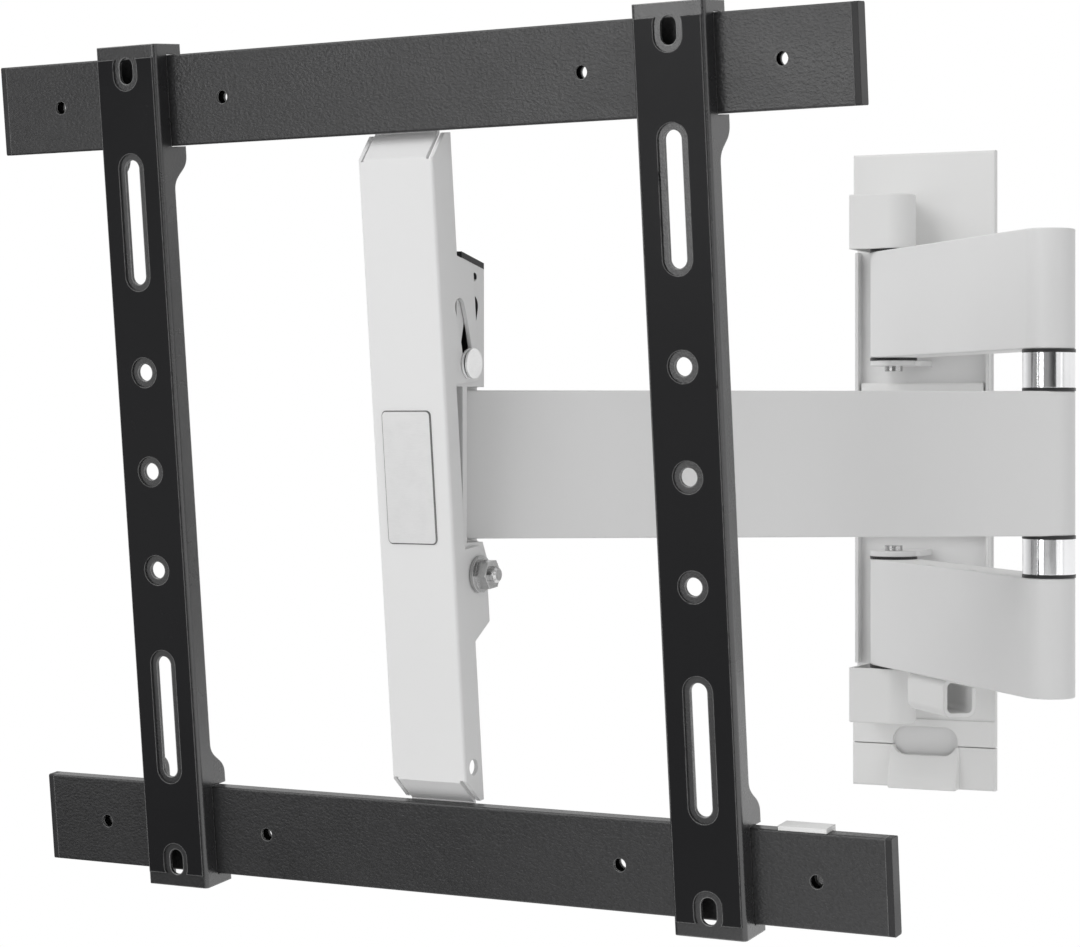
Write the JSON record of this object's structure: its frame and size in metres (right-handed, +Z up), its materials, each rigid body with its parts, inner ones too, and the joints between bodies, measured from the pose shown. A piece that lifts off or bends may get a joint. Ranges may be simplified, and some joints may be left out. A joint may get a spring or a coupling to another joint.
{
  "type": "full-motion screen wall mount",
  "caption": "Full-motion wall mount for a flat screen: folding arms on a covered wall plate, a swivelling head with slotted tilt, level rails and sliding upright brackets.",
  "frame": {"origin": "middle of the wall plate's back, on the wall's surface", "axes": "+X to the right along the wall, +Y into the wall, +Z up; the mount stands out towards -Y"},
  "size_m": [0.5147, 0.4061, 0.4249],
  "materials": {
    "white_paint": "satin white powder coat",
    "white_plastic": "satin white moulding",
    "black_coat": "fine-grained black powder coat",
    "rubber": "smooth satin rubber",
    "black_plastic": "matt moulding",
    "chrome": "polished plate",
    "zinc": "zinc plate",
    "plaque": "brushed and clear-coated",
    "bush": "low-friction moulding",
    "aluminium_arm": "cast and painted satin white"
  },
  "bodies": {
    "wall": {"wall_plate": "white_paint", "top_cover": "white_plastic", "lower_cover": "white_plastic", "bottom_cap": "white_plastic", "centre_insert": "white_plastic", "upper_hinge_bracket": "white_paint", "lower_hinge_bracket": "white_paint", "upper_hinge_cover": "white_plastic", "lower_hinge_cover": "white_plastic", "hinge_bolts": "zinc"},
    "wall_arms": {"upper_wall_arm": "aluminium_arm", "lower_wall_arm": "aluminium_arm", "upper_wall_arm_lid": "white_plastic", "lower_wall_arm_lid": "white_plastic", "hinge_bushes": "bush", "hinge_washers": "black_plastic", "arm_cable_clip": "white_plastic", "elbow_shaft": "zinc", "elbow_caps": "white_plastic", "elbow_spacers": "chrome", "elbow_washers": "black_plastic"},
    "middle_arm": {"mid_arm": "aluminium_arm", "mid_arm_lid": "white_plastic", "elbow_bushes": "bush", "head_bushes": "bush"},
    "head": {"swivel_head": "white_paint", "head_liner": "black_plastic", "head_washers": "bush", "head_pin": "zinc", "head_nut": "zinc", "tilt_bolt": "zinc", "tilt_nut": "zinc"},
    "tilt_pin": {"tilt_pin": "zinc"},
    "screen_frame": {"post": "white_paint", "plaque": "plaque", "top_rail": "black_coat", "bottom_rail": "black_coat", "rail_end_caps": "black_plastic", "rail_screws": "zinc", "rail_cable_clip": "white_plastic"},
    "left_bracket": {"left_bracket": "black_coat", "left_bracket_pad": "rubber"},
    "right_bracket": {"right_bracket": "black_coat", "right_bracket_pad": "rubber"}
  },
  "joints": [
    {"name": "wall_hinge", "type": "hinge", "parent": "wall", "child": "wall_arms", "pos_m": [-0.011, -0.027, 0.007], "axis": [0, 0, -1], "range_deg": [-50.3, 99.7]},
    {"name": "elbow", "type": "hinge", "parent": "wall_arms", "child": "middle_arm", "pos_m": [0.11548, -0.17934, 0.007], "axis": [0, 0, 1], "range_deg": [-70, 100]},
    {"name": "swivel", "type": "hinge", "parent": "middle_arm", "child": "head", "pos_m": [-0.14511, -0.32798, 0.007], "axis": [0, 0, -1], "range_deg": [-24.8, 135.2]},
    {"name": "tilt", "type": "hinge", "parent": "head", "child": "screen_frame", "pos_m": [-0.14585, -0.33625, -0.0459], "axis": [0.996, -0.0889, 0], "range_deg": [-7, 0.43]},
    {"name": "tilt_pin_slide", "type": "slide", "parent": "head", "child": "tilt_pin", "axis": [0.023, 0.2578, 0.9659], "range_m": [-0.0018, 0.029]},
    {"name": "left_bracket_slide", "type": "slide", "parent": "screen_frame", "child": "left_bracket", "axis": [0.996, -0.0889, 0], "range_m": [-0.05, 0.1]},
    {"name": "right_bracket_slide", "type": "slide", "parent": "screen_frame", "child": "right_bracket", "axis": [0.996, -0.0889, 0], "range_m": [-0.1, 0.012]}
  ],
  "couplings": [
    {"joint": "tilt_pin_slide", "follows": "tilt", "m_per_rad": -0.23737}
  ]
}
